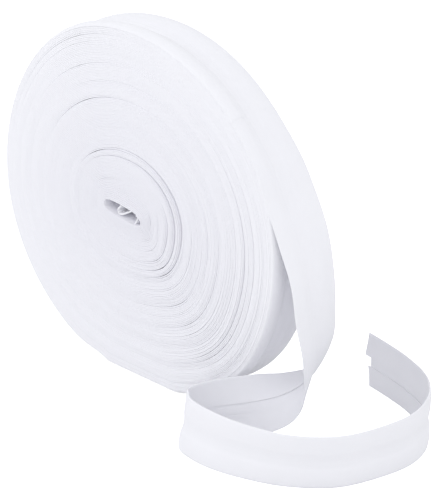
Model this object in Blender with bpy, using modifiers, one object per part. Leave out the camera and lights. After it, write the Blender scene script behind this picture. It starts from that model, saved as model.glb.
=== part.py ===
"""A roll of single-fold bias tape that stands on a small flat spot, with its loose end in a loop.

The roll's axis is Y, its near face looks along -Y, and the origin is the middle of the flat spot.
The tape is wound clockwise as the near face is seen. Its last turn comes over the top, leaves the
roll at the upper right, hangs down, tips until it stands on its near edge, turns back sharply and
runs round an open loop to its cut end.

wound_roll is all the turns as one body: a round rim, flattened turns round an oval core, a near
face that bulges by as much as the far face is hollow, and the S-folded first end inside the core.
loose_end is the folded tape from the place where it leaves the roll to its cut end.
"""

import math
from collections import namedtuple

import bmesh
import bpy
import numpy as np
from mathutils import Vector

MM = 0.001

# Driving dimensions in metres
TAPE_WIDTH = 20 * MM
TAPE_THICKNESS = 1.0 * MM
NEAR_FLAP = 7.7 * MM
FAR_FLAP = 8.9 * MM
FOLD_GAP_DEPTH = 0.4 * MM
CENTRE_HEIGHT = 61.8 * MM
CORE_LENGTH = 17.4 * MM
CORE_HEIGHT = 4.6 * MM
CORE_RISE = 0.8 * MM
CORE_TILT = math.radians(-8)
CORE_SQUARENESS = 3.0
BULGE = 4.7 * MM

# Where the tape leaves the roll, right of its axis and above it. The roll's radius and the angle
# of that place follow. Under the loose end the roll is smaller by END_STEP: half the tape, the
# highest ridge of the rim and a little air.
LEAVES_ROLL = (45.4 * MM, 45.3 * MM)
ROLL_RADIUS = math.hypot(*LEAVES_ROLL)
LEAVES_AT = math.atan2(LEAVES_ROLL[1], LEAVES_ROLL[0])
END_STEP = 1.7 * MM
CLEARANCE = 0.2 * MM
ROUTE_STARTS_BEFORE = math.radians(8)

# How finely the shapes are divided
RING_POINTS = 72
STEPS_BETWEEN_STATIONS = 5

# Groups of turns on the faces, from the core to the rim. share is the part of the wound thickness
# inside the ring, and proud is how far its turns stand out of the even bulge, in millimetres. At
# the right and lower right the winding has opened, and there its turns have sunk as well.
Ring = namedtuple("Ring", "share proud sunk")
RINGS = (
    Ring(0.000, 0.40, 0.0),
    Ring(0.030, 0.30, 0.0),
    Ring(0.080, -0.25, 0.0),
    Ring(0.140, 0.00, 0.0),
    Ring(0.190, 0.05, 0.0),
    Ring(0.205, 0.05, 0.3),
    Ring(0.220, 0.10, 0.0),
    Ring(0.245, 0.15, 0.0),
    Ring(0.260, 0.20, 0.6),
    Ring(0.275, 0.30, 0.0),
    Ring(0.300, 0.20, 0.0),
    Ring(0.315, 0.05, 0.7),
    Ring(0.335, -0.20, 0.0),
    Ring(0.500, 0.10, 0.0),
    Ring(0.620, 0.15, 0.0),
    Ring(0.720, -0.15, 0.0),
    Ring(0.770, 0.00, 0.0),
    Ring(0.785, 0.05, 0.4),
    Ring(0.800, 0.10, 0.0),
    Ring(0.930, 0.00, 0.0),
)
SUNK_AT = math.radians(10)
SUNK_SPREAD = math.radians(58)

# The rim across the tape: share of the width from its middle, and height over the roll's radius
# in millimetres. The folded-in edges make two low ridges with a valley along the gap between them.
RimPoint = namedtuple("RimPoint", "share height")
RIM = (
    RimPoint(-0.500, -0.45),
    RimPoint(-0.475, 0.10),
    RimPoint(-0.400, 0.65),
    RimPoint(-0.310, 0.80),
    RimPoint(-0.220, 0.20),
    RimPoint(-0.130, -0.75),
    RimPoint(-0.040, -0.90),
    RimPoint(0.060, -0.60),
    RimPoint(0.150, 0.05),
    RimPoint(0.275, 0.45),
    RimPoint(0.400, 0.25),
    RimPoint(0.475, -0.15),
    RimPoint(0.500, -0.55),
)

# The turns are slack at the lower right, tight at the lower left, and higher in the middle of the
# roll at the top. Each row gives how much further out they lie, as a share of the wound thickness.
Swell = namedtuple("Swell", "angle spread third two_thirds rim")
SWELLS = (
    Swell(-44, 23, 0.024, 0.045, 0.036),
    Swell(75, 45, 0.026, 0.000, 0.000),
    Swell(-106, 7, -0.002, -0.010, -0.027),
    Swell(163, 28, 0.000, -0.005, -0.014),
    Swell(97, 20, 0.000, -0.003, -0.008),
)

# As they come over the top, the outermost turns lean out of the near face, and their near edge rises
LEAN = 1.5 * MM
LEAN_AT = math.radians(80)
LEAN_SPREAD = math.radians(45)
LEAN_FROM_SHARE = 0.80
LEAN_POWER = 1.5
CANT = 0.9 * MM
CANT_AT = math.radians(106)
CANT_SPREAD = math.radians(24)
CANT_FROM_ACROSS = 0.2
CANT_POWER = 8

# The S-folded first end of the tape inside the core, seen on the near face: millimetres to the
# right of the core's middle and above it. Both of its ends run into the turns round the core.
CoreFold = namedtuple("CoreFold", "right up")
CORE_FOLDS = (
    CoreFold(-0.6, 3.0),
    CoreFold(-1.9, 1.4),
    CoreFold(-2.9, 0.1),
    CoreFold(-2.3, -1.3),
    CoreFold(-0.4, -0.8),
    CoreFold(2.0, 0.6),
    CoreFold(4.4, 1.9),
    CoreFold(6.2, 1.2),
    CoreFold(6.4, -0.3),
    CoreFold(4.8, -3.4),
)
CORE_FOLD_THICKNESS = 0.6 * MM
CORE_FOLD_RECESS = 0.3 * MM
CORE_FOLD_STEPS = 3

# Stations along the loose end: the middle of the tape in millimetres, and which way its width
# points there, from the near edge to the far one. From the eleventh on, it stands on its near edge.
Station = namedtuple("Station", "x y z tip_x tip_y tip_z")
STATIONS = (
    Station(45.4, -0.8, 107.1, 0.00, 1.00, 0.00),
    Station(56.1, -0.5, 94.1, 0.07, 1.00, 0.04),
    Station(61.9, -0.2, 83.5, 0.14, 1.00, 0.06),
    Station(67.7, 0.0, 71.2, 0.14, 1.00, 0.03),
    Station(72.0, 0.0, 58.0, 0.02, 1.00, 0.00),
    Station(74.0, 0.0, 45.0, -0.05, 1.00, 0.00),
    Station(74.4, 1.2, 32.5, -0.23, 1.00, 0.00),
    Station(71.6, 1.2, 21.0, -0.48, 0.90, 0.08),
    Station(65.6, -3.6, 13.6, -0.65, 0.60, 0.46),
    Station(58.4, -11.8, 10.8, -0.45, 0.35, 0.82),
    Station(50.0, -22.6, 10.0, -0.15, 0.15, 0.97),
    Station(46.8, -32.0, 10.0, 0.03, 0.20, 0.97),
    Station(51.3, -36.6, 10.0, 0.04, 0.12, 1.00),
    Station(63.0, -38.0, 10.0, 0.02, 0.08, 1.00),
    Station(77.0, -35.8, 10.0, 0.03, -0.02, 1.00),
    Station(90.8, -30.3, 10.0, 0.07, -0.09, 1.00),
    Station(102.2, -19.8, 10.0, 0.09, -0.09, 1.00),
    Station(107.6, -5.5, 10.0, 0.09, -0.07, 1.00),
    Station(109.2, 9.0, 10.0, 0.06, -0.03, 1.00),
    Station(105.0, 21.5, 10.0, 0.00, 0.00, 1.00),
    Station(96.5, 30.5, 10.0, 0.00, 0.00, 1.00),
    Station(84.0, 36.3, 10.0, 0.00, 0.00, 1.00),
    Station(72.0, 39.5, 10.0, 0.00, 0.00, 1.00),
    Station(63.5, 41.2, 10.0, 0.00, 0.00, 1.00),
)

# The cut end, from the near edge of the tape to the far one: share of the width, and how far the
# cut reaches past the last station there, in millimetres. The folds leave a notch between them.
CutPoint = namedtuple("CutPoint", "share reach")
CUT_END = (
    CutPoint(0.00, 0.0),
    CutPoint(0.40, 0.9),
    CutPoint(0.42, -0.6),
    CutPoint(0.58, -0.4),
    CutPoint(0.60, 2.6),
    CutPoint(1.00, 1.0),
)

TAPE_WHITE = (0.80, 0.79, 0.86, 1.0)


def clear_scene():
    for thing in list(bpy.data.objects):
        bpy.data.objects.remove(thing)


def new_collection(name):
    collection = bpy.data.collections.new(name)
    bpy.context.scene.collection.children.link(collection)
    return collection


def cotton(name):
    """Plain matt cotton, one material for each piece."""
    material = bpy.data.materials.new(name)
    material.use_nodes = True
    shader = material.node_tree.nodes["Principled BSDF"]
    shader.inputs["Base Color"].default_value = TAPE_WHITE
    shader.inputs["Roughness"].default_value = 0.9
    shader.inputs["Metallic"].default_value = 0.0
    return material


def object_from(bm, name, collection):
    """Makes a smooth-shaded object of a bmesh, with the faces of a closed body pointing out."""
    bmesh.ops.recalc_face_normals(bm, faces=bm.faces)
    mesh = bpy.data.meshes.new(name)
    bm.to_mesh(mesh)
    bm.free()
    thing = bpy.data.objects.new(name, mesh)
    collection.objects.link(thing)
    return thing


def finish(thing, material):
    thing.data.shade_smooth()
    thing.data.set_sharp_from_angle(angle=math.radians(40))
    thing.data.materials.append(material)


def smooth_curve(points, steps):
    """Points on a smooth cubic curve through the given rows of numbers."""
    rows = np.array(points, float)
    rows = np.vstack([2 * rows[0] - rows[1], rows, 2 * rows[-1] - rows[-2]])
    curve = []
    for before, start, end, after in zip(rows, rows[1:], rows[2:], rows[3:]):
        knots = np.cumsum([0.0] + [math.dist(a[:3], b[:3]) ** 0.5
                                   for a, b in ((before, start), (start, end), (end, after))])
        slope_in = (end - before) / (knots[2] - knots[0])
        slope_out = (after - start) / (knots[3] - knots[1])
        span = knots[2] - knots[1]
        for part in np.linspace(0, 1, steps, endpoint=False):
            rest = 1 - part
            curve.append(start * rest ** 2 * (1 + 2 * part) + end * part ** 2 * (3 - 2 * part)
                         + slope_in * span * rest ** 2 * part - slope_out * span * rest * part ** 2)
    curve.append(rows[-2])
    return np.array(curve)


def loft(bm, sections, closed_ends):
    """Skins a row of closed sections, and caps both ends or joins the last one to the first."""
    rings = [[bm.verts.new(point) for point in section] for section in sections]
    pairs = list(zip(rings, rings[1:]))
    if closed_ends:
        bm.faces.new(rings[0][::-1])
        bm.faces.new(rings[-1])
    else:
        pairs.append((rings[-1], rings[0]))
    for ring, following in pairs:
        for i in range(len(ring)):
            j = (i + 1) % len(ring)
            bm.faces.new((ring[i], ring[j], following[j], following[i]))


def bulge_at(share):
    """How far the turns are pushed out of the near face between the core and the rim."""
    return BULGE * (1 - share) ** 1.1 * (1 + 0.6 * share)


def nearness(angle, middle, spread):
    """One at the middle angle, falling softly to nothing well past the spread."""
    away = (angle - middle + math.pi) % (2 * math.pi) - math.pi
    return math.exp(-(away / spread) ** 2)


def swell_at(share, angle):
    """How much further out than an even roll the turns lie, as a share of the wound thickness."""
    out = 0.0
    for swell in SWELLS:
        amount = np.interp(share, (0, 1 / 3, 2 / 3, 1), (0, swell.third, swell.two_thirds, swell.rim))
        out += amount * nearness(angle, math.radians(swell.angle), math.radians(swell.spread))
    return out


def lean_at(share, angle):
    """How far the outermost turns lean towards the near face as they come over the top."""
    outermost = max(0.0, share - LEAN_FROM_SHARE) / (1 - LEAN_FROM_SHARE)
    return -LEAN * outermost ** LEAN_POWER * nearness(angle, LEAN_AT, LEAN_SPREAD)


def cant_at(share, angle, across):
    """How far the near edge of the outermost turns rises at the top."""
    near = min(max(-across / (TAPE_WIDTH / 2) - CANT_FROM_ACROSS, 0.0), 1.0)
    return CANT * share ** CANT_POWER * nearness(angle, CANT_AT, CANT_SPREAD) * near


def ring_points(share, y, height=0.0, sunk=0.0):
    """One ring of the roll: an oval at the core, a circle with the spiral's end step at the rim."""
    points = []
    for i in range(RING_POINTS + 1):
        turned = i / RING_POINTS
        angle = LEAVES_AT + 2 * math.pi * turned
        out = share + swell_at(share, angle)
        half_length = CORE_LENGTH / 2 + (ROLL_RADIUS - CORE_LENGTH / 2) * out
        half_height = CORE_HEIGHT / 2 + (ROLL_RADIUS - CORE_HEIGHT / 2) * out
        power = 2 / (CORE_SQUARENESS + (2 - CORE_SQUARENESS) * min(1.0, 3 * out))
        tilt = CORE_TILT * (1 - out) ** 2
        rise = CORE_RISE * (1 - out) ** 2
        lift = height + cant_at(share, angle, y) - (END_STEP * turned if share == 1 else 0.0)
        along = angle - tilt
        x = (half_length + lift) * math.copysign(abs(math.cos(along)) ** power, math.cos(along))
        z = (half_height + lift) * math.copysign(abs(math.sin(along)) ** power, math.sin(along))
        shift = lean_at(share, angle) + sunk * nearness(angle, SUNK_AT, SUNK_SPREAD)
        spot = Vector((x * math.cos(tilt) - z * math.sin(tilt), y + shift,
                       CENTRE_HEIGHT + rise + x * math.sin(tilt) + z * math.cos(tilt)))
        spot.z = max(spot.z, 0.0)
        points.append(spot)
    return points


def make_roll(parts, cutters):
    """The wound turns, lofted from the core to the rim and back along the far face."""
    near, far = -TAPE_WIDTH / 2, TAPE_WIDTH / 2
    faces = [(ring.share, -bulge_at(ring.share) - ring.proud * MM, ring.sunk * MM) for ring in RINGS]
    sections = [ring_points(share, near + shift, 0.0, sunk) for share, shift, sunk in faces]
    sections += [ring_points(1, point.share * TAPE_WIDTH, point.height * MM) for point in RIM]
    sections += [ring_points(share, far + shift, 0.0, sunk) for share, shift, sunk in reversed(faces)]
    bm = bmesh.new()
    loft(bm, sections, closed_ends=False)
    bmesh.ops.remove_doubles(bm, verts=bm.verts, dist=0.001 * MM)
    bmesh.ops.triangulate(bm, faces=bm.faces)
    roll = object_from(bm, "wound_roll", parts)
    fold = make_core_fold(cutters)
    joined = roll.modifiers.new("core_fold", "BOOLEAN")
    joined.operation = "UNION"
    joined.solver = "EXACT"
    joined.object = fold
    finish(roll, cotton("roll_cotton"))
    return roll


def make_core_fold(cutters):
    """The S-folded first end of the tape: an upright wall that is joined to the roll."""
    path = smooth_curve([(fold.right, 0.0, fold.up) for fold in CORE_FOLDS], CORE_FOLD_STEPS) * MM
    depth = TAPE_WIDTH - 2 * CORE_FOLD_RECESS
    front = -TAPE_WIDTH / 2 - bulge_at(0) + CORE_FOLD_RECESS
    bm = bmesh.new()
    line = [bm.verts.new((x, front, CENTRE_HEIGHT + CORE_RISE + z)) for x, _, z in path]
    edges = [bm.edges.new(pair) for pair in zip(line, line[1:])]
    wall = bmesh.ops.extrude_edge_only(bm, edges=edges)["geom"]
    moved = [item for item in wall if isinstance(item, bmesh.types.BMVert)]
    bmesh.ops.translate(bm, verts=moved, vec=(0, depth, 0))
    fold = object_from(bm, "core_fold_wall", cutters)
    thick = fold.modifiers.new("thickness", "SOLIDIFY")
    thick.thickness = CORE_FOLD_THICKNESS
    thick.offset = 0.0
    fold.hide_render = True
    fold.display_type = "WIRE"
    return fold


def tape_section():
    """The folded tape cut across: places across it and heights outward, both from its middle.

    The outer side is plain. The back has the two folded-in edges with the gap between them.
    """
    edge, half = TAPE_WIDTH / 2, TAPE_THICKNESS / 2
    near_raw, far_raw = NEAR_FLAP - edge, edge - FAR_FLAP
    rounding = half / 2
    floor = -half + FOLD_GAP_DEPTH
    return ((-edge, half - rounding), (-edge + rounding, half), (edge - rounding, half),
            (edge, half - rounding), (edge, rounding - half), (edge - rounding, -half),
            (far_raw, -half), (far_raw, floor), (near_raw, floor), (near_raw, -half),
            (-edge + rounding, -half), (-edge, rounding - half))


def cut_reach(across):
    """How far the cut end reaches past the last station at a place across the tape."""
    share = 0.5 + across / TAPE_WIDTH
    return np.interp(share, [cut.share for cut in CUT_END], [cut.reach * MM for cut in CUT_END])


def make_loose_end(parts):
    """The hanging, tipped and looped end of the tape, swept through its stations.

    Its route starts a little way back on the roll, so that it leaves the roll without a corner.
    """
    on_roll = LEAVES_AT + ROUTE_STARTS_BEFORE
    before = Station(ROLL_RADIUS / MM * math.cos(on_roll), STATIONS[0].y,
                     (CENTRE_HEIGHT + ROLL_RADIUS * math.sin(on_roll)) / MM, 0.0, 1.0, 0.0)
    path = smooth_curve((before,) + STATIONS, STEPS_BETWEEN_STATIONS)
    middles = [Vector(row[:3]) * MM for row in path]
    section = tape_section()
    sections = []
    last = len(middles) - 1
    for i in range(STEPS_BETWEEN_STATIONS, last + 1):
        middle = middles[i]
        ahead = (middles[min(i + 1, last)] - middles[i - 1]).normalized()
        middle = middle + ahead * (CLEARANCE if i == STEPS_BETWEEN_STATIONS else 0.0)
        tip = Vector(path[i][3:])
        tip = (tip - tip.dot(ahead) * ahead).normalized()
        outward = ahead.cross(tip)
        corners = [middle + tip * across + outward * height
                   + ahead * (cut_reach(across) if i == last else 0.0)
                   for across, height in section]
        sections.append([Vector((x, y, max(z, 0.0))) for x, y, z in corners])
    bm = bmesh.new()
    loft(bm, sections, closed_ends=True)
    bmesh.ops.triangulate(bm, faces=bm.faces)
    loose_end = object_from(bm, "loose_end", parts)
    finish(loose_end, cotton("loose_end_cotton"))
    return loose_end


def main():
    clear_scene()
    parts = new_collection("bias_tape_roll")
    cutters = new_collection("cutters")
    make_roll(parts, cutters)
    make_loose_end(parts)


main()
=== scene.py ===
# %% [markdown]
# A roll of white single-fold bias tape
#
# The roll stands on a small flat spot, and its last stretch of tape hangs off the side and runs
# round an open loop on the table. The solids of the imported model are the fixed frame. This lesson
# winds the tape again turn by turn, folds the loose end out of one thin strip of cloth, and gives
# both a woven cotton finish. Lengths are in metres, and the roll's axis is Y.

# %% Load the fixed frame
import math
import random
from collections import namedtuple

import bmesh
import bpy
import numpy as np
from mathutils import Matrix, Vector


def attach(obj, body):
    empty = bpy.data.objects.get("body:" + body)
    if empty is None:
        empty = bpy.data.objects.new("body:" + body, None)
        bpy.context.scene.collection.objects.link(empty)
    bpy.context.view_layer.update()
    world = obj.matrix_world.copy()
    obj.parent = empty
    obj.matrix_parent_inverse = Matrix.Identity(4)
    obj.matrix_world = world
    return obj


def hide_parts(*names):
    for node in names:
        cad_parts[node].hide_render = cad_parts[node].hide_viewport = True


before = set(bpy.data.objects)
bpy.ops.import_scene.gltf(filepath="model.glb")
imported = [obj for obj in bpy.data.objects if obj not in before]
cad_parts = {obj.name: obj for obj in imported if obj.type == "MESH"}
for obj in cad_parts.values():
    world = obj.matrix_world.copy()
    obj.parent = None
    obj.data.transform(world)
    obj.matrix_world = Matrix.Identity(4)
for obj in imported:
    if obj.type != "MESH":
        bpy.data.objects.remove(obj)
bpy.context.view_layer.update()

# %% [markdown]
# The tape and the roll
#
# Single-fold tape is a strip of cotton cut on the bias, with both long edges pressed in to the
# back until they nearly meet. Two layers of cloth lie at each side of a narrow gap. The roll is
# that tape wound on itself, about a hundred and ten turns. These few sizes drive every piece. They
# are the solids' own, apart from the cloth's thickness and the count of turns.

# %% Sizes of the tape and of the roll
MM = 0.001
TAPE_WIDTH = 20 * MM
CLOTH = 0.24 * MM
NEAR_FLAP = 7.7 * MM
FAR_FLAP = 8.9 * MM
CENTRE_HEIGHT = 61.8 * MM
CORE_LENGTH = 17.4 * MM
CORE_HEIGHT = 4.6 * MM
CORE_RISE = 0.8 * MM
CORE_TILT = math.radians(-8)
CORE_SQUARENESS = 3.0
BULGE = 4.7 * MM
LEAVES_ROLL = (45.4 * MM, 45.3 * MM)
ROLL_RADIUS = math.hypot(*LEAVES_ROLL)
LEAVES_AT = math.atan2(LEAVES_ROLL[1], LEAVES_ROLL[0])
TURNS = 110
PITCH = 1 / TURNS
ROLL_LENGTH = TURNS * math.pi * (ROLL_RADIUS + CORE_LENGTH / 4)

# %% [markdown]
# The camera
#
# The photograph looks down on the roll from the right of its near face, from less than a metre
# away through a long lens. Where the camera stands was worked out from the two round rims and the
# edges of the loose end. The focal length is given in pixels of the photograph, because that is how
# it is measured, and the camera is turned a little so that the roll's middle falls where the
# photograph has it.

# %% Place the camera
IMAGE_WIDTH = 433
IMAGE_HEIGHT = 496
AIM_PIXEL = (154.2, 202.4)
FOCAL_PIXELS = 2526
SENSOR = 36
CAMERA_AZIMUTH = math.radians(45)
CAMERA_ELEVATION = math.radians(23.8)
CAMERA_DISTANCE = 0.855


def place_camera():
    """Stands the camera where the photograph was taken from."""
    azimuth, elevation = CAMERA_AZIMUTH, CAMERA_ELEVATION
    back = Vector((math.sin(azimuth) * math.cos(elevation), -math.cos(azimuth) * math.cos(elevation),
                   math.sin(elevation)))
    right = Vector((math.cos(azimuth), math.sin(azimuth), 0))
    up = back.cross(right)
    aside = (IMAGE_WIDTH / 2 - AIM_PIXEL[0]) / FOCAL_PIXELS
    below = (IMAGE_HEIGHT / 2 - AIM_PIXEL[1]) / FOCAL_PIXELS
    turned_back = (back - aside * right + below * up).normalized()
    turned_right = (right - right.dot(turned_back) * turned_back).normalized()
    turned_up = turned_back.cross(turned_right)
    data = bpy.data.cameras.new("camera")
    data.sensor_width = SENSOR
    data.lens = FOCAL_PIXELS * SENSOR / IMAGE_HEIGHT
    camera = bpy.data.objects.new("camera", data)
    bpy.context.scene.collection.objects.link(camera)
    axes = Matrix((turned_right, turned_up, turned_back)).transposed()
    camera.matrix_world = Matrix.LocRotScale(
        Vector((0, 0, CENTRE_HEIGHT)) + CAMERA_DISTANCE * back, axes, Vector((1, 1, 1)))
    bpy.context.scene.camera = camera
    return camera


camera = place_camera()
print("camera at", [round(c, 3) for c in camera.location], "lens", round(camera.data.lens, 1))

# %% [markdown]
# Shared weave
#
# Bias tape is plain weave, one thread over and one under, and it is cut at forty-five degrees, so
# its threads cross the strip slantwise. The pattern could be an image, but two crossed waves in a
# node group give it at any scale. The group reads metres along and across the cloth from the
# piece's own UV map, so the threads turn and fold with the cloth. It puts out a height for the
# bump and a painted shade for the colour, darker where a thread dips under the other, and every
# cotton finish below uses the same group.

# %% A small helper for node groups
TreeEnds = namedtuple("TreeEnds", "tree given result")


def new_group(name, inputs, outputs):
    """Starts a shader node group. inputs maps a name to (socket type, default)."""
    tree = bpy.data.node_groups.new(name, "ShaderNodeTree")
    for label, (kind, default) in inputs.items():
        socket = tree.interface.new_socket(label, in_out="INPUT", socket_type=kind)
        if default is not None:
            socket.default_value = default
    for label in outputs:
        tree.interface.new_socket(label, in_out="OUTPUT", socket_type="NodeSocketFloat")
    return TreeEnds(tree, tree.nodes.new("NodeGroupInput"), tree.nodes.new("NodeGroupOutput"))


def math_node(tree, operation, first, second=None, third=None):
    """Adds a Math node. Each value is a number or another node's output."""
    node = tree.nodes.new("ShaderNodeMath")
    node.operation = operation
    for socket, value in zip(node.inputs, (first, second, third)):
        if isinstance(value, bpy.types.NodeSocket):
            tree.links.new(value, socket)
        elif value is not None:
            socket.default_value = value
    return node.outputs[0]


# %% The plain weave, as a node group
THREAD_PITCH = 0.3 * MM
SLUB_SCALE = 900
EVEN_THREAD = 0.8
WEAVE_SHADE = 0.10


def make_weave_group():
    """Height of a plain weave whose threads run slantwise across the strip, and a painted shade that
    darkens the dips between its threads.
    """
    ends = new_group("bias_plain_weave", {
        "Cloth": ("NodeSocketVector", None),
        "Thread Pitch": ("NodeSocketFloat", THREAD_PITCH),
        "Slub": ("NodeSocketFloat", 0.35),
    }, ("Height", "Shade"))
    tree = ends.tree
    turned = tree.nodes.new("ShaderNodeVectorRotate")
    turned.rotation_type = "Z_AXIS"
    turned.inputs["Angle"].default_value = math.radians(45)
    tree.links.new(ends.given.outputs["Cloth"], turned.inputs["Vector"])
    slub = tree.nodes.new("ShaderNodeTexNoise")
    slub.inputs["Scale"].default_value = SLUB_SCALE
    slub.inputs["Detail"].default_value = 2
    tree.links.new(turned.outputs[0], slub.inputs["Vector"])
    parts = tree.nodes.new("ShaderNodeSeparateXYZ")
    tree.links.new(turned.outputs[0], parts.inputs[0])
    per_thread = math_node(tree, "DIVIDE", math.pi, ends.given.outputs["Thread Pitch"])
    warp_at = math_node(tree, "MULTIPLY", parts.outputs["X"], per_thread)
    weft_at = math_node(tree, "MULTIPLY", parts.outputs["Y"], per_thread)
    warp = math_node(tree, "SINE", warp_at)
    weft = math_node(tree, "SINE", weft_at)
    round_warp = math_node(tree, "ABSOLUTE", warp)
    round_weft = math_node(tree, "ABSOLUTE", weft)
    crossing = math_node(tree, "MULTIPLY", math_node(tree, "COSINE", warp_at),
                         math_node(tree, "COSINE", weft_at))
    over = math_node(tree, "MULTIPLY_ADD", crossing, 0.5, 0.5)
    under = math_node(tree, "SUBTRACT", 1.0, over)
    height = math_node(tree, "ADD", math_node(tree, "MULTIPLY", over, round_warp),
                       math_node(tree, "MULTIPLY", under, round_weft))
    uneven = math_node(tree, "MULTIPLY_ADD", slub.outputs[0], ends.given.outputs["Slub"],
                       EVEN_THREAD)
    height = math_node(tree, "MULTIPLY", height, uneven)
    tree.links.new(height, ends.result.inputs["Height"])
    # Painted shade: the colour darkens by up to WEAVE_SHADE where a thread dips under the other.
    shade = math_node(tree, "MULTIPLY_ADD", height, WEAVE_SHADE, 1 - WEAVE_SHADE)
    tree.links.new(shade, ends.result.inputs["Shade"])
    return tree


weave_group = make_weave_group()
print("weave group nodes:", len(weave_group.nodes))


# %% Soft handling marks, as a node group
MARKS_A_METRE = 90.0
MARK_TONE = 0.04


def make_mottle_group():
    """A faint unevenness of tone and height, from pressing and handling the cloth."""
    ends = new_group("handled_cloth", {
        "Place": ("NodeSocketVector", None),
        "Scale": ("NodeSocketFloat", MARKS_A_METRE),
    }, ("Tone", "Height"))
    tree = ends.tree
    noise = tree.nodes.new("ShaderNodeTexNoise")
    noise.inputs["Detail"].default_value = 3
    noise.inputs["Roughness"].default_value = 0.55
    tree.links.new(ends.given.outputs["Place"], noise.inputs["Vector"])
    tree.links.new(ends.given.outputs["Scale"], noise.inputs["Scale"])
    tone = math_node(tree, "MULTIPLY_ADD", noise.outputs[0], MARK_TONE, 1 - MARK_TONE / 2)
    tree.links.new(tone, ends.result.inputs["Tone"])
    tree.links.new(noise.outputs[0], ends.result.inputs["Height"])
    return tree


mottle_group = make_mottle_group()
print("handling group nodes:", len(mottle_group.nodes))

# %% [markdown]
# Cotton finishes
#
# The tape is optical white, which has a trace of violet in it. Cotton is matt with a soft sheen
# at grazing angles. The loose cloth shows its weave plainly. The turns of the roll show only
# their pressed fold edges, where the threads are crushed, so the same groups go in with weaker
# values. Constants sit on the shader's own sockets, and only what changes over the surface is
# linked.

# %% Make the cotton finishes
WHITE_COTTON = (0.847, 0.845, 0.887)
# WHITE_COTTON is the cotton's colour, and SHADED_COTTON is a bluer, shaded copy of it, towards which
# the finishes below paint shade.
SHADED_COTTON = (0.58, 0.57, 0.66)
CORE_TONE = 0.70
TONE_POWER = 0.5
WEAVE_HEIGHT = 0.08 * MM
MARK_HEIGHT = 0.6 * MM


def tone_along(tree, cloth):
    """A factor that rises from CORE_TONE at the core to one at the rim, from metres of tape."""
    parts = tree.nodes.new("ShaderNodeSeparateXYZ")
    tree.links.new(cloth, parts.inputs[0])
    wound = math_node(tree, "DIVIDE", parts.outputs["X"], ROLL_LENGTH)
    outward = math_node(tree, "POWER", wound, TONE_POWER)
    return math_node(tree, "MULTIPLY_ADD", outward, 1 - CORE_TONE, CORE_TONE)


def cotton(name, weave_depth, handling_depth, wound):
    """White cotton that reads the piece's UV map "tape", in metres along and across the cloth."""
    material = bpy.data.materials.new(name)
    material.use_nodes = True
    tree = material.node_tree
    shader = tree.nodes["Principled BSDF"]
    shader.inputs["Roughness"].default_value = 0.88
    shader.inputs["Sheen Weight"].default_value = 0.12
    shader.inputs["Sheen Roughness"].default_value = 0.5
    shader.inputs["Specular IOR Level"].default_value = 0.2
    cloth = tree.nodes.new("ShaderNodeUVMap")
    cloth.uv_map = "tape"
    place = tree.nodes.new("ShaderNodeTexCoord")
    weave = tree.nodes.new("ShaderNodeGroup")
    weave.node_tree = weave_group
    mottle = tree.nodes.new("ShaderNodeGroup")
    mottle.node_tree = mottle_group
    tree.links.new(cloth.outputs["UV"], weave.inputs["Cloth"])
    tree.links.new(place.outputs["Object"], mottle.inputs["Place"])
    # The colour is mixed from the shaded copy to the white by tone: painted shade between the
    # threads from the weave, random tone from the handling marks, and on the wound turns a tone that
    # darkens towards the core.
    tone = math_node(tree, "MULTIPLY", weave.outputs["Shade"], mottle.outputs["Tone"])
    if wound:
        tone = math_node(tree, "MULTIPLY", tone, tone_along(tree, cloth.outputs["UV"]))
    shade_and_tone_mix = tree.nodes.new("ShaderNodeMix")
    shade_and_tone_mix.data_type = "RGBA"
    shade_and_tone_mix.inputs["A"].default_value = (*SHADED_COTTON, 1)
    shade_and_tone_mix.inputs["B"].default_value = (*WHITE_COTTON, 1)
    tree.links.new(tone, shade_and_tone_mix.inputs["Factor"])
    tree.links.new(shade_and_tone_mix.outputs["Result"], shader.inputs["Base Color"])
    fine = tree.nodes.new("ShaderNodeBump")
    fine.inputs["Distance"].default_value = WEAVE_HEIGHT
    fine.inputs["Strength"].default_value = weave_depth
    tree.links.new(weave.outputs["Height"], fine.inputs["Height"])
    soft = tree.nodes.new("ShaderNodeBump")
    soft.inputs["Distance"].default_value = MARK_HEIGHT
    soft.inputs["Strength"].default_value = handling_depth
    tree.links.new(mottle.outputs["Height"], soft.inputs["Height"])
    tree.links.new(fine.outputs["Normal"], soft.inputs["Normal"])
    tree.links.new(soft.outputs["Normal"], shader.inputs["Normal"])
    return material


loose_cotton = cotton("loose_tape_cotton", weave_depth=0.6, handling_depth=0.18, wound=False)
wound_cotton = cotton("wound_tape_cotton", weave_depth=0.25, handling_depth=0.05, wound=True)
print("finishes:", loose_cotton.name, wound_cotton.name)

# %% [markdown]
# Strips as bent grids
#
# Every piece here is a long strip, so every piece starts as the same thing: a flat grid of faces
# from create_grid. Its rows are then bent to where the tape goes, the way one bends a paper strip.
# The UV map is set at the same time, in metres of cloth. A strip whose section closes on itself
# has its first and last column merged and its two ends filled, which makes it a closed body.

# %% Bend a grid into a strip
MERGE_DISTANCE = 0.0005 * MM


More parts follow.
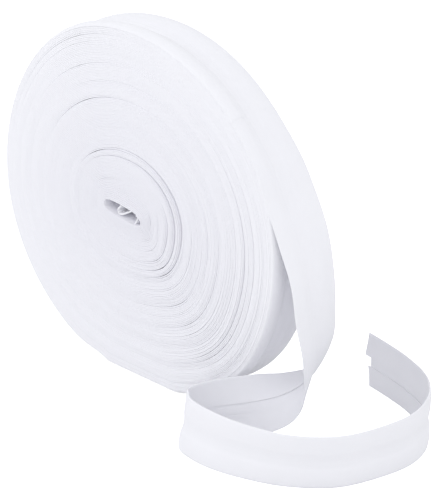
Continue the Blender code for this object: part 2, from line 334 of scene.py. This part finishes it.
def bent_strip(name, points, cloth, closed, material):
    """Makes an object of a grid whose corners lie at points, with cloth as its UV map."""
    along, around = points.shape[:2]
    places = points.reshape(-1, 3)
    metres = cloth.reshape(-1, 2)
    bm = bmesh.new()
    bmesh.ops.create_grid(bm, x_segments=around - 1, y_segments=along - 1, size=0.5)
    bm.verts.index_update()
    layer = bm.loops.layers.uv.new("tape")
    for face in bm.faces:
        face.smooth = True
        for loop in face.loops:
            loop[layer].uv = metres[loop.vert.index]
    for vert, place in zip(bm.verts, places):
        vert.co = place
    if closed:
        bmesh.ops.remove_doubles(bm, verts=bm.verts, dist=MERGE_DISTANCE)
        rims = [edge for edge in bm.edges if edge.is_boundary]
        ends = bmesh.ops.holes_fill(bm, edges=rims, sides=0)["faces"]
        for face in ends:
            face.smooth = False
            for edge in face.edges:
                edge.smooth = False
        bmesh.ops.recalc_face_normals(bm, faces=bm.faces)
    else:
        for edge in bm.edges:
            edge.smooth = not edge.is_boundary
    mesh = bpy.data.meshes.new(name)
    bm.to_mesh(mesh)
    bm.free()
    mesh.materials.append(material)
    piece = bpy.data.objects.new(name, mesh)
    bpy.context.scene.collection.objects.link(piece)
    print(name, "has", len(mesh.vertices), "points and", len(mesh.polygons), "faces")
    return piece


# %% Measure a strip of cloth
def run_along(points):
    """Metres along a row of points, at each of them."""
    steps = np.linalg.norm(np.diff(points, axis=0), axis=1)
    return np.concatenate([[0.0], np.cumsum(steps)])


def cloth_metres(lengths, widths):
    """Metres along and across the cloth at every point of a strip, for its UV map."""
    return np.stack(np.meshgrid(lengths, widths, indexing="ij"), axis=-1)


def eased(part):
    """A share from nothing to one that starts and ends gently."""
    return part * part * (3 - 2 * part)


# %% [markdown]
# How the turns lie
#
# Seen from the near side, the tape is wound clockwise. The innermost turn is an oval, pressed
# flat when the first end was pulled out of the winder, and each turn after it is rounder, until
# the outermost is a circle. The middle of the roll has been pushed towards the viewer, so the
# near face is a low dome and the far face is hollow. One function gives the place of any point of
# the roll, from its share of the wound thickness and its angle, and all the turns use it.

# %% The dome of the near face
BULGE_POWER = 1.1
BULGE_FULLNESS = 0.6


def bulge_at(share):
    """How far the turns are pushed out of the near face between the core and the rim."""
    return BULGE * (1 - share) ** BULGE_POWER * (1 + BULGE_FULLNESS * share)


# %% [markdown]
# Bands, gaps and slack
#
# A real roll is never even. Some groups of turns stand proud, some have sunk, and here and there
# the winding has opened into a thin dark line, mostly at the right and lower right, where the
# hanging end pulls. The rows below follow those that show, in millimetres and degrees. share says
# which turn, sink says how far the turns beside it have dropped in, and angle says where the gap
# is widest, anticlockwise from the right. The swells are slack and tight places of the whole
# winding, and the outermost turns lean out of the near face as they come over the top.

# %% Bands and gaps of the winding
Band = namedtuple("Band", "share proud")
BANDS = (
    Band(0.00, 0.40),
    Band(0.03, 0.30),
    Band(0.08, -0.25),
    Band(0.14, 0.00),
    Band(0.24, 0.10),
    Band(0.285, 0.35),
    Band(0.34, -0.25),
    Band(0.42, 0.10),
    Band(0.48, -0.12),
    Band(0.56, 0.20),
    Band(0.61, -0.08),
    Band(0.66, 0.15),
    Band(0.73, -0.20),
    Band(0.79, 0.20),
    Band(0.84, -0.12),
    Band(0.89, 0.18),
    Band(0.94, -0.05),
    Band(0.97, 0.00),
)
Gap = namedtuple("Gap", "share width sink angle spread")
GAPS = (
    Gap(0.068, 0.30, 0.15, 5, 20),
    Gap(0.137, 0.30, 0.15, -2, 24),
    Gap(0.203, 0.45, 0.40, -5, 34),
    Gap(0.258, 0.85, 0.55, 22, 62),
    Gap(0.305, 0.85, 0.60, 20, 58),
    Gap(0.412, 0.20, 0.10, -5, 35),
    Gap(0.445, 0.12, 0.10, -40, 22),
    Gap(0.478, 0.12, 0.10, -45, 22),
    Gap(0.515, 0.30, 0.15, 0, 26),
    Gap(0.598, 0.30, 0.25, -20, 32),
    Gap(0.655, 0.12, 0.10, -30, 20),
    Gap(0.785, 0.55, 0.40, -8, 40),
    Gap(0.812, 0.20, 0.10, -28, 26),
    Gap(0.855, 0.30, 0.15, 5, 36),
    Gap(0.120, 0.07, 0.10, 110, 28),
    Gap(0.290, 0.20, 0.20, 112, 34),
    Gap(0.605, 0.17, 0.20, 118, 36),
    Gap(0.700, 0.07, 0.10, 96, 24),
    Gap(0.800, 0.10, 0.15, 125, 34),
    Gap(0.920, 0.10, 0.15, 148, 34),
    Gap(0.955, 0.10, 0.15, 130, 38),
)
GAP_REACH = 0.10
SINK_REACH = 0.012
Swell = namedtuple("Swell", "angle spread third two_thirds rim")
SWELLS = (
    Swell(-44, 23, 0.024, 0.045, 0.036),
    Swell(75, 45, 0.026, 0.000, 0.000),
    Swell(-106, 7, -0.002, -0.010, -0.027),
    Swell(163, 28, 0.000, -0.005, -0.014),
    Swell(97, 20, 0.000, -0.003, -0.008),
)
LEAN = 1.5 * MM
LEAN_AT = math.radians(80)
LEAN_SPREAD = math.radians(45)
LEAN_FROM_SHARE = 0.80
LEAN_POWER = 1.5
RESTLESS_AT = math.radians(-32)
RESTLESS_SPREAD = math.radians(65)
RESTLESS_LEAST = 0.12
CANT = 0.9 * MM
CANT_AT = math.radians(106)
CANT_SPREAD = math.radians(24)
CANT_FROM_ACROSS = 0.2
CANT_POWER = 8


def wrapped(angle):
    """The same angle between minus and plus half a turn."""
    return np.mod(angle + math.pi, 2 * math.pi) - math.pi


def proud_at(share):
    """How far a band of turns stands out of the even dome."""
    return np.interp(share, [band.share for band in BANDS], [band.proud * MM for band in BANDS])


def past_gap(gap, share, angle):
    """How many shares past a gap each turn is, and how much of the gap is left at each angle. The
    gap moves on to the next turn on its far side, where it is shut."""
    shut_at = (LEAVES_AT - math.radians(gap.angle)) / (2 * math.pi) + 0.5
    whole_turns = round(gap.share * TURNS - shut_at)
    away = wrapped(angle - math.radians(gap.angle)) / math.radians(gap.spread)
    return share - (whole_turns + shut_at) * PITCH, np.exp(-away ** 2)


def opened_at(share, angle):
    """How far a turn is pushed outward, or inward if negative, by the gaps beside it."""
    pushed = np.zeros_like(share)
    for gap in GAPS:
        beyond, left = past_gap(gap, share, angle)
        pushed += gap.width / 2 * MM * left * np.sign(beyond) * np.exp(-np.abs(beyond) / GAP_REACH)
    return pushed


def sunk_at(share, angle):
    """How far the turns beside a gap have sunk into the roll."""
    sunk = np.zeros_like(share)
    for gap in GAPS:
        beyond, left = past_gap(gap, share, angle)
        sunk += gap.sink * MM * left * np.exp(-(beyond / SINK_REACH) ** 2)
    return sunk


def restless_at(angle):
    """How unevenly the turns lie, from almost even at the left to one at the lower right."""
    away = wrapped(angle - RESTLESS_AT) / RESTLESS_SPREAD
    return RESTLESS_LEAST + (1 - RESTLESS_LEAST) * np.exp(-away ** 2)


def swell_at(share, angle):
    """How much further out than an even roll the turns lie, as a share of the wound thickness."""
    out = np.zeros_like(share + angle)
    for swell in SWELLS:
        amounts = (0, swell.third, swell.two_thirds, swell.rim)
        among = np.polyval(np.polyfit((0, 1 / 3, 2 / 3, 1), amounts, 3), np.clip(share, 0, 1))
        away = wrapped(angle - math.radians(swell.angle))
        out = out + among * np.exp(-(away / math.radians(swell.spread)) ** 2)
    return out


def lean_at(share, angle):
    """How far the outermost turns lean towards the near face as they come over the top."""
    outermost = np.clip((share - LEAN_FROM_SHARE) / (1 - LEAN_FROM_SHARE), 0, 1)
    away = wrapped(angle - LEAN_AT) / LEAN_SPREAD
    return -LEAN * outermost ** LEAN_POWER * np.exp(-away ** 2)


def cant_at(share, angle, across):
    """How far the near edge of the outermost turns rises at the top."""
    away = wrapped(angle - CANT_AT) / CANT_SPREAD
    near = np.clip(-across / (TAPE_WIDTH / 2) - CANT_FROM_ACROSS, 0, 1)
    return CANT * share ** CANT_POWER * np.exp(-away ** 2) * near


# %% Round, oval and flattened turns
SQUARENESS_FADES = 3
CORE_PLACE_POWER = 2
SQUEEZED_FROM = 0.6
LEAST_REACH = 1 * MM


def roll_point(share, angle, y, height, crowned):
    """The place of a point of the winding. height is outward from the turn that share names, and
    crowned is how far the rim stands out over its middle plane at the same place across."""
    share = share + swell_at(share, angle)
    rim_radius = ROLL_RADIUS + (ROLL_RADIUS - CORE_HEIGHT / 2) * swell_at(1.0, angle) + crowned
    half_length = CORE_LENGTH / 2 + (ROLL_RADIUS - CORE_LENGTH / 2) * share
    half_height = CORE_HEIGHT / 2 + (ROLL_RADIUS - CORE_HEIGHT / 2) * share
    power = 2 / (CORE_SQUARENESS + (2 - CORE_SQUARENESS) * np.minimum(1.0, SQUARENESS_FADES * share))
    tilt = CORE_TILT * (1 - share) ** CORE_PLACE_POWER
    rise = CORE_RISE * (1 - share) ** CORE_PLACE_POWER
    along = angle - tilt
    x = (half_length + height) * np.copysign(np.abs(np.cos(along)) ** power, np.cos(along))
    z = (half_height + height) * np.copysign(np.abs(np.sin(along)) ** power, np.sin(along))
    right = x * np.cos(tilt) - z * np.sin(tilt)
    above = rise + x * np.sin(tilt) + z * np.cos(tilt)
    squeezed_from = SQUEEZED_FROM * CENTRE_HEIGHT
    reach = rim_radius * np.abs(np.sin(angle))
    room = (CENTRE_HEIGHT - squeezed_from) / np.maximum(reach - squeezed_from, LEAST_REACH)
    squeezed = -squeezed_from + (above + squeezed_from) * np.minimum(1.0, room)
    above = np.where(above < -squeezed_from, squeezed, above)
    return np.stack([right, y, CENTRE_HEIGHT + above], axis=-1)


print("outermost point:", roll_point(1.0, 0.0, 0.0, 0.0, 0.0))

# %% [markdown]
# The wound turns
#
# The turns could be faked as rings cut into a disc, but on the real roll it is one strip, and the
# eye follows it. So it is wound as one strip: a long grid bent along the spiral, with a flat
# section that is rounded where the cloth is folded. Each turn lies a little further out or in
# than the one below it, and that wander is carried on from turn to turn, as it is when tape is
# wound on tape. The last turn is left out here, because it shows its whole width and gets its own
# finer strip.

# %% Wander of the turns
STEPS_A_TURN = 96
WANDER_KNOTS = 6
WANDER = 0.09 * MM
WANDER_KEPT = 0.72
FILL_WANDER = 0.07 * PITCH
FILL_WANDER_KEPT = 0.3
WANDER_SPREAD = 2.2
SEED = 4685
dice = random.Random(SEED)


def make_wander(turns, size, kept):
    """Rows of a smooth random wander: one row a turn, each partly carried on from the last."""
    rows = [[0.0] * WANDER_KNOTS]
    for _ in range(turns + 1):
        rows.append([kept * last + (1 - kept) * dice.gauss(0, 1) * WANDER_SPREAD
                     for last in rows[-1]])
    return size * np.array(rows[1:]).ravel()


def wander_at(table, turned):
    """Reads a wander smoothly at a number of turns from the core."""
    place = np.clip(turned * WANDER_KNOTS, 0, len(table) - 1.001)
    knot = place.astype(int)
    part = eased(place - knot)
    return table[knot] * (1 - part) + table[knot + 1] * part


edge_wander = make_wander(TURNS, WANDER, WANDER_KEPT)
fill_wander = make_wander(TURNS, FILL_WANDER, FILL_WANDER_KEPT)
print("turns wander by up to", round(float(np.abs(edge_wander).max()) / MM, 2), "mm")

# %% The shape of the rim across the tape
RimPoint = namedtuple("RimPoint", "across height")
RIM = (
    RimPoint(-10.0, -0.45),
    RimPoint(-9.5, 0.10),
    RimPoint(-8.0, 0.65),
    RimPoint(-6.2, 0.80),
    RimPoint(-4.4, 0.20),
    RimPoint(-2.6, -0.75),
    RimPoint(-0.8, -0.90),
    RimPoint(1.2, -0.60),
    RimPoint(3.0, 0.05),
    RimPoint(5.5, 0.45),
    RimPoint(8.0, 0.25),
    RimPoint(9.5, -0.15),
    RimPoint(10.0, -0.55),
)
FREE = (
    RimPoint(-10.0, -0.15),
    RimPoint(-8.5, 0.10),
    RimPoint(-6.0, 0.18),
    RimPoint(-3.8, 0.05),
    RimPoint(-2.2, -0.35),
    RimPoint(0.0, -0.42),
    RimPoint(1.4, -0.25),
    RimPoint(3.4, 0.08),
    RimPoint(6.0, 0.16),
    RimPoint(8.5, 0.05),
    RimPoint(10.0, -0.15),
)


CROWN_SAMPLES = 161
SOFTENED_OVER = 9


def crown(profile, across):
    """Height of the tape's outer side over its flat middle plane, by a soft curve."""
    places = np.array([point.across for point in profile]) * MM
    heights = np.array([point.height for point in profile]) * MM
    fine = np.linspace(places[0], places[-1], CROWN_SAMPLES)
    rough = np.interp(fine, places, heights)
    padded = np.pad(rough, SOFTENED_OVER // 2, mode="edge")
    soft = np.convolve(padded, np.ones(SOFTENED_OVER) / SOFTENED_OVER, "valid")
    return np.interp(across, fine, soft)


# %% Wind the turns
SectionPoint = namedtuple("SectionPoint", "across height")
FOLDED_SECTION = (
    SectionPoint(-10.00, -0.55),
    SectionPoint(-10.00, 0.55),
    SectionPoint(-9.94, 1.00),
    SectionPoint(9.94, 1.00),
    SectionPoint(10.00, 0.55),
    SectionPoint(10.00, -0.55),
    SectionPoint(9.94, -1.00),
    SectionPoint(-9.94, -1.00),
    SectionPoint(-10.00, -0.55),
)
TURN_FILL = 0.5
HALF_TURN = 0.25 * MM
RIM_SHAPE_POWER = 6
FOLD_RADIUS = 0.2 * MM
HALF_THICKNESS = FOLD_RADIUS + CLOTH / 2


def spiral(first, last, steps):
    """Turns from the core, share and angle at even steps along a stretch of the winding."""
    turned = np.linspace(first, last, steps + 1)
    return turned, turned / TURNS, LEAVES_AT + 2 * math.pi * (TURNS - turned)


def tape_lengths(points):
    """Metres along a strip at each of its rows."""
    return run_along(points.mean(axis=1))


def wind_turns():
    """The spiral of all the turns but the last."""
    turned, share, angle = spiral(0, TURNS - 1, (TURNS - 1) * STEPS_A_TURN)
    across = np.array([point.across for point in FOLDED_SECTION]) * MM
    height = np.array([point.height for point in FOLDED_SECTION])
    share = share[:, None] + np.zeros_like(across)
    angle = angle[:, None] + np.zeros_like(across)
    uneven = restless_at(angle)
    shift = -bulge_at(share) - proud_at(share) + sunk_at(share, angle) + lean_at(share, angle)
    shift = shift + uneven * wander_at(edge_wander, turned)[:, None]
    lift = opened_at(share, angle) + share ** RIM_SHAPE_POWER * crown(RIM, across)
    lift = lift + cant_at(share, angle, across)
    layer = share + TURN_FILL * PITCH * height + uneven * wander_at(fill_wander, turned)[:, None]
    points = roll_point(layer, angle, across + shift, lift, crown(RIM, across) + HALF_THICKNESS)
    lengths = tape_lengths(points)
    cloth = cloth_metres(lengths, run_along(np.column_stack([across, height * HALF_TURN])))
    return bent_strip("wound_turns", points, cloth, True, wound_cotton), lengths[-1]


wound_turns, wound_length = wind_turns()
print("tape in the turns:", round(wound_length, 2), "m")

# %% [markdown]
# The outermost turn
#
# On the rim the whole width of the tape shows. The two folded-in edges lie under it with a gap
# between them, so its outer side has two low ridges and a valley along the middle. The strip has
# many more points across than the turns below, to carry that shape.

# %% Lay the outermost turn
RIM_POINTS = 40
RIM_STEPS = 300
RIM_FACE_REACH = 9.7 * MM
RIM_EDGE = (
    RimPoint(-9.88, 0.22),
    RimPoint(-9.98, 0.10),
    RimPoint(-10.0, 0.00),
    RimPoint(-10.0, -0.18),
    RimPoint(-9.96, -0.28),
)
RIM_BACK = (9.9, 4.0, 0.0, -4.0, -9.9)
OVERLAP = 0.03
WANDER_FADES = 0.1


def rim_section():
    """Across and height of the folded tape on the rim: its outer side, both folds and its back."""
    near = [(point.across * MM, point.height * MM) for point in RIM_EDGE]
    far = [(-across, height) for across, height in near]
    outer = np.linspace(-RIM_FACE_REACH, RIM_FACE_REACH, RIM_POINTS)
    top = [(across, HALF_THICKNESS) for across in outer]
    back = [(across * MM, -HALF_THICKNESS) for across in RIM_BACK]
    section = near[::-1] + top + far + back
    return np.array(section + section[:1])


def lay_rim_turn():
    """The last turn of the roll, from under its own end round to where it leaves the roll."""
    section = rim_section()
    across, height = section[:, 0], section[:, 1]
    turned, share, angle = spiral(TURNS - 1 - OVERLAP, TURNS, RIM_STEPS)
    share = share[:, None] + np.zeros_like(across)
    angle = angle[:, None] + np.zeros_like(across)
    fade = np.clip((TURNS - turned) / WANDER_FADES, 0, 1)[:, None]
    wander = restless_at(angle) * wander_at(edge_wander, turned)[:, None]
    shift = (wander - bulge_at(share)) * fade + lean_at(share, angle)
    lift = opened_at(share, angle) * fade + crown(RIM, across) + height
    lift = lift + cant_at(share, angle, across)
    points = roll_point(share, angle, across + shift, lift, crown(RIM, across) + HALF_THICKNESS)
    cloth = cloth_metres(tape_lengths(points), run_along(section))
    return bent_strip("rim_turn", points, cloth, True, loose_cotton)


rim_turn = lay_rim_turn()

# %% [markdown]
# The first end, in the core
#
# The first few centimetres of tape are folded back and forth in the flat hole of the core. The
# fold shows as a thin S that stands a little deeper than the turns round it. Its route is a short
# list of points, with a smooth curve through them.

# %% A smooth curve through points
def smooth_curve(points, steps):
    """Points on a smooth cubic curve through the given rows of numbers."""
    rows = np.array(points, float)
    rows = np.vstack([2 * rows[0] - rows[1], rows, 2 * rows[-1] - rows[-2]])
    curve = []
    for before, start, end, after in zip(rows, rows[1:], rows[2:], rows[3:]):
        knots = np.cumsum([0.0] + [math.dist(a[:3], b[:3]) ** 0.5
                                   for a, b in ((before, start), (start, end), (end, after))])
        slope_in = (end - before) / (knots[2] - knots[0])
        slope_out = (after - start) / (knots[3] - knots[1])
        span = knots[2] - knots[1]
        for part in np.linspace(0, 1, steps, endpoint=False):
            rest = 1 - part
            curve.append(start * rest ** 2 * (1 + 2 * part) + end * part ** 2 * (3 - 2 * part)
                         + slope_in * span * rest ** 2 * part - slope_out * span * rest * part ** 2)
    curve.append(rows[-2])
    return np.array(curve)


# %% Fold the first end
CoreFold = namedtuple("CoreFold", "right up")
CORE_FOLDS = (
    CoreFold(-0.6, 3.0),
    CoreFold(-1.9, 1.4),
    CoreFold(-2.9, 0.1),
    CoreFold(-2.3, -1.3),
    CoreFold(-0.4, -0.8),
    CoreFold(2.0, 0.6),
    CoreFold(4.4, 1.9),
    CoreFold(6.2, 1.2),
    CoreFold(6.4, -0.3),
    CoreFold(4.8, -3.4),
)
CORE_SECTION = (
    SectionPoint(-1.000, -0.4),
    SectionPoint(-1.000, 0.4),
    SectionPoint(-0.985, 1.0),
    SectionPoint(0.985, 1.0),
    SectionPoint(1.000, 0.4),
    SectionPoint(1.000, -0.4),
    SectionPoint(0.985, -1.0),
    SectionPoint(-0.985, -1.0),
    SectionPoint(-1.000, -0.4),
)
CORE_FOLD_STEPS = 12
CORE_FOLD_RECESS = 0.3 * MM
CORE_FOLD_THICKNESS = 0.6 * MM


def fold_first_end():
    """The S-folded start of the tape, as one strip that stands across the core's hole."""
    path = smooth_curve([(fold.right, 0.0, fold.up) for fold in CORE_FOLDS], CORE_FOLD_STEPS) * MM
    ahead = np.gradient(path, axis=0)
    ahead /= np.linalg.norm(ahead, axis=1)[:, None]
    outward = np.stack([-ahead[:, 2], 0 * ahead[:, 0], ahead[:, 0]], axis=-1)
    half = TAPE_WIDTH / 2 - CORE_FOLD_RECESS
    across = np.array([point.across for point in CORE_SECTION]) * half
    height = np.array([point.height for point in CORE_SECTION]) * CORE_FOLD_THICKNESS / 2
    points = path[:, None, :] + outward[:, None, :] * height[None, :, None]
    points[..., 1] = across - bulge_at(0)
    points[..., 2] += CENTRE_HEIGHT + CORE_RISE
    cloth = cloth_metres(tape_lengths(points), run_along(np.column_stack([across, height])))
    return bent_strip("core_end", points, cloth, True, loose_cotton)


core_end = fold_first_end()

# %% [markdown]
# The loose end
#
# This is the piece that people look at first, and it is one strip of cloth, so it is made as one:
# a thin sheet whose section goes round from one raw edge, along the flap, round the fold, across
# the face, round the other fold and back to the other raw edge. It is swept through stations that
# lie within a fraction of a millimetre of its solid's, and the width's direction at each station
# makes it tip from hanging to standing. Solidify gives it the cloth's thickness. The flaps lift a
# little, in a slow wave along the tape, and the cut end is uneven, with a notch between the flaps.

# %% Stations of the loose end
Station = namedtuple("Station", "x y z tip_x tip_y tip_z")
STATIONS = (
    Station(45.4, -0.8, 107.1, 0.00, 1.00, 0.00),
    Station(56.1, -0.5, 94.1, 0.07, 1.00, 0.04),
    Station(61.7, -0.2, 83.4, 0.16, 1.00, 0.06),
    Station(67.5, 0.0, 71.2, 0.17, 1.00, 0.03),
    Station(72.0, 0.0, 58.0, 0.02, 1.00, 0.00),
    Station(74.0, 0.0, 45.0, -0.05, 1.00, 0.00),
    Station(74.4, 1.2, 32.5, -0.23, 1.00, 0.00),
    Station(71.6, 1.2, 21.0, -0.48, 0.90, 0.08),
    Station(65.6, -3.6, 13.6, -0.65, 0.60, 0.46),
    Station(58.4, -11.8, 10.8, -0.45, 0.35, 0.82),
    Station(50.0, -22.6, 10.0, -0.15, 0.15, 0.97),
    Station(46.8, -32.0, 10.0, 0.03, 0.20, 0.97),
    Station(51.3, -36.6, 10.0, 0.04, 0.12, 1.00),
    Station(63.0, -38.0, 10.0, 0.02, 0.08, 1.00),
    Station(77.0, -35.8, 10.0, 0.03, -0.02, 1.00),
    Station(90.8, -30.3, 10.0, 0.07, -0.09, 1.00),
    Station(102.2, -19.8, 10.0, 0.09, -0.09, 1.00),
    Station(107.6, -5.5, 10.0, 0.09, -0.07, 1.00),
    Station(109.2, 9.0, 10.0, 0.06, -0.03, 1.00),
    Station(105.0, 21.5, 10.0, 0.00, 0.00, 1.00),
    Station(96.5, 30.5, 10.0, 0.00, 0.00, 1.00),
    Station(84.0, 36.3, 10.0, 0.00, 0.00, 1.00),
    Station(72.0, 39.5, 10.0, 0.00, 0.00, 1.00),
    Station(63.5, 41.2, 10.0, 0.00, 0.00, 1.00),
)
STEPS_BETWEEN_STATIONS = 16


def frames_along(path, first):
    """Middle, direction ahead, direction across and direction outward at each row of a path, from
    the row called first. Its rows are sheared there, as the turns are, and square further on."""
    middle = path[:, :3] * MM
    ahead = np.gradient(middle, axis=0)
    ahead /= np.linalg.norm(ahead, axis=1)[:, None]
    tip = path[:, 3:]
    square = np.clip((np.arange(len(path)) - first) / STEPS_BETWEEN_STATIONS, 0, 1)[:, None]
    tip = tip - square * (tip * ahead).sum(axis=1)[:, None] * ahead
    tip /= np.linalg.norm(tip, axis=1)[:, None]
    outward = np.cross(ahead, tip)
    outward /= np.linalg.norm(outward, axis=1)[:, None]
    return middle[first:], ahead[first:], tip[first:], outward[first:]


# %% The section of folded cloth
FLAP_POINTS = 12
FACE_POINTS = 36
FOLD_POINTS = 5


def cloth_section():
    """Rows of the unfolded width, place across, side of the fold and share of the flap's width."""
    rows = []
    reach = TAPE_WIDTH / 2 - FOLD_RADIUS
    near_raw = NEAR_FLAP - TAPE_WIDTH / 2
    far_raw = TAPE_WIDTH / 2 - FAR_FLAP
    for part in np.linspace(0, 1, FLAP_POINTS, endpoint=False):
        rows.append((near_raw + part * (-reach - near_raw), -1.0, 1 - part))
    for turn in np.linspace(-90, 90, FOLD_POINTS, endpoint=False):
        rows.append((-reach - FOLD_RADIUS * math.cos(math.radians(turn)),
                     math.sin(math.radians(turn)), 0.0))
    for across in np.linspace(-reach, reach, FACE_POINTS, endpoint=False):
        rows.append((across, 1.0, 0.0))
    for turn in np.linspace(90, -90, FOLD_POINTS, endpoint=False):
        rows.append((reach + FOLD_RADIUS * math.cos(math.radians(turn)),
                     math.sin(math.radians(turn)), 0.0))
    for part in np.linspace(0, 1, FLAP_POINTS):
        rows.append((reach + part * (far_raw - reach), -1.0, part))
    return np.array(rows)


# %% How the section rises and falls along the tape
WOUND_SHAPE_FADES = 70 * MM
FLATTER_BACK = 0.45
FLAP_LIFT = 0.05 * MM
LIFT_STEADY = 0.6
LIFT_WAVY = 0.4
LIFT_WAVE = 17 * MM


def section_heights(lengths, section, near_end):
    """Height of the section's points at each row, from the roll's shape to the loop's. near_end
    rises to one at the cut end, where the flaps lie flat."""
    across, side, flap = section.T
    free = eased(np.clip(lengths / WOUND_SHAPE_FADES, 0, 1)[:, None])
    shape = (1 - free) * crown(RIM, across) + free * crown(FREE, across)
    wave = (LIFT_STEADY + LIFT_WAVY * np.sin(lengths / LIFT_WAVE))[:, None]
    lift = FLAP_LIFT * flap ** 2 * free * (1 - near_end) * wave
    face_side = np.where(side > 0, 1.0, 1 - FLATTER_BACK * free)
    return side * FOLD_RADIUS + shape * face_side - lift


# %% The cut end
CutPoint = namedtuple("CutPoint", "share reach")
FACE_CUT = (CutPoint(0.0, 0.0), CutPoint(0.5, -0.5), CutPoint(1.0, 1.0))
FLAP_CUT = (CutPoint(0.0, 0.0), CutPoint(0.41, 0.9), CutPoint(0.59, 2.6), CutPoint(1.0, 1.0))
CUT_SHAPE_FADES = 12 * MM


def cut_reach(profile, across):
    """How far the cut end reaches past the last station, at places across the tape."""
    share = 0.5 + across / TAPE_WIDTH
    return np.interp(share, [cut.share for cut in profile], [cut.reach * MM for cut in profile])


# %% Sweep the loose end
ROUTE_STARTS_BEFORE = math.radians(8)


def lay_loose_end():
    """The folded tape from where it leaves the roll to its cut end."""
    on_roll = LEAVES_AT + ROUTE_STARTS_BEFORE
    before = Station(ROLL_RADIUS / MM * math.cos(on_roll), STATIONS[0].y,
                     (CENTRE_HEIGHT + ROLL_RADIUS * math.sin(on_roll)) / MM, 0.0, 1.0, 0.0)
    path = smooth_curve((before,) + STATIONS, STEPS_BETWEEN_STATIONS)
    middle, ahead, tip, outward = frames_along(path, STEPS_BETWEEN_STATIONS)
    section = cloth_section()
    across, side, flap = section.T
    lengths = run_along(middle)
    near_end = np.clip(1 - (lengths[-1] - lengths) / CUT_SHAPE_FADES, 0, 1)[:, None]
    height = section_heights(lengths, section, near_end)
    points = middle[:, None, :] + tip[:, None, :] * across[None, :, None]
    points = points + outward[:, None, :] * height[..., None]
    reach = np.where(flap > 0, cut_reach(FLAP_CUT, across), cut_reach(FACE_CUT, across))
    points = points + ahead[:, None, :] * (near_end * reach)[..., None]
    points[..., 2] = np.maximum(points[..., 2], CLOTH / 2)
    cloth = cloth_metres(lengths, run_along(np.column_stack([across, side * FOLD_RADIUS])))
    piece = bent_strip("tape_tail", points, cloth, False, loose_cotton)
    thick = piece.modifiers.new("cloth", "SOLIDIFY")
    thick.thickness = CLOTH
    thick.offset = 0
    return piece, lengths[-1]


tape_tail, tail_length = lay_loose_end()
print("loose end:", round(tail_length / MM, 1), "mm of tape")

# %% [markdown]
# Hanging the pieces on the frame
#
# Each piece rides on the roll's one body, and the solid that it stands for is hidden.

# %% Ride the body and hide the solids
for piece, node in ((wound_turns, "wound_roll"), (rim_turn, "wound_roll"),
                    (core_end, "wound_roll"), (tape_tail, "loose_end")):
    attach(piece, "root")
    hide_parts(node)

# %% [markdown]
# Floor and light
#
# The photograph is a bright studio picture on white, and it can be lit with a white world and a
# few soft lamps. The world does most of it. The lamps at the left and the front light the near
# face, so that its gaps show, and a weaker one at the right reaches the rim and the loop. The
# table looks white to the camera but is a plain reflector to everything else, which keeps the
# underside of the roll dark.

# %% The floor
FLOOR_REACH = 3.0
FLOOR_TONE = 0.9
FLOOR_GLOW = 0.7


def make_floor():
    """A plain pale table top, well past the edges of the picture."""
    bm = bmesh.new()
    bmesh.ops.create_grid(bm, x_segments=1, y_segments=1, size=FLOOR_REACH)
    mesh = bpy.data.meshes.new("floor")
    bm.to_mesh(mesh)
    bm.free()
    material = bpy.data.materials.new("pale_table")
    material.use_nodes = True
    tree = material.node_tree
    shader = tree.nodes["Principled BSDF"]
    shader.inputs["Base Color"].default_value = (FLOOR_TONE, FLOOR_TONE, FLOOR_TONE, 1)
    shader.inputs["Roughness"].default_value = 0.9
    shader.inputs["Specular IOR Level"].default_value = 0.0
    shader.inputs["Emission Strength"].default_value = FLOOR_GLOW
    ray = tree.nodes.new("ShaderNodeLightPath")
    tree.links.new(ray.outputs["Is Camera Ray"], shader.inputs["Emission Color"])
    mesh.materials.append(material)
    floor = bpy.data.objects.new("floor", mesh)
    bpy.context.scene.collection.objects.link(floor)
    return floor


floor = make_floor()
print("floor reaches", FLOOR_REACH, "m to each side")

# %% World and lamps
WORLD_COLOUR = (0.985, 0.995, 1.0)
WORLD_STRENGTH = 0.95
Lamp = namedtuple("Lamp", "name place watts")
LAMPS = (
    Lamp("left_softbox", (-0.9, -0.9, 0.7), 3.0),
    Lamp("right_softbox", (0.9, 0.9, 0.9), 0.9),
    Lamp("front_softbox", (0.8, -0.7, 1.1), 3.0),
)
LAMP_SIZE = 1.0


def add_lamp(lamp):
    """A square soft lamp that faces the middle of the roll."""
    data = bpy.data.lights.new(lamp.name, "AREA")
    data.size = LAMP_SIZE
    data.energy = lamp.watts
    stand = bpy.data.objects.new(lamp.name, data)
    stand.location = lamp.place
    towards = Vector((0, 0, CENTRE_HEIGHT)) - Vector(lamp.place)
    stand.rotation_euler = towards.to_track_quat("-Z", "Y").to_euler()
    bpy.context.scene.collection.objects.link(stand)


def light_world(colour, strength):
    """An even white surround."""
    world = bpy.data.worlds.new("white_surround")
    world.use_nodes = True
    background = world.node_tree.nodes["Background"]
    background.inputs["Color"].default_value = (*colour, 1)
    background.inputs["Strength"].default_value = strength
    bpy.context.scene.world = world


light_world(WORLD_COLOUR, WORLD_STRENGTH)
for lamp in LAMPS:
    add_lamp(lamp)
bpy.context.scene.view_settings.view_transform = "Standard"
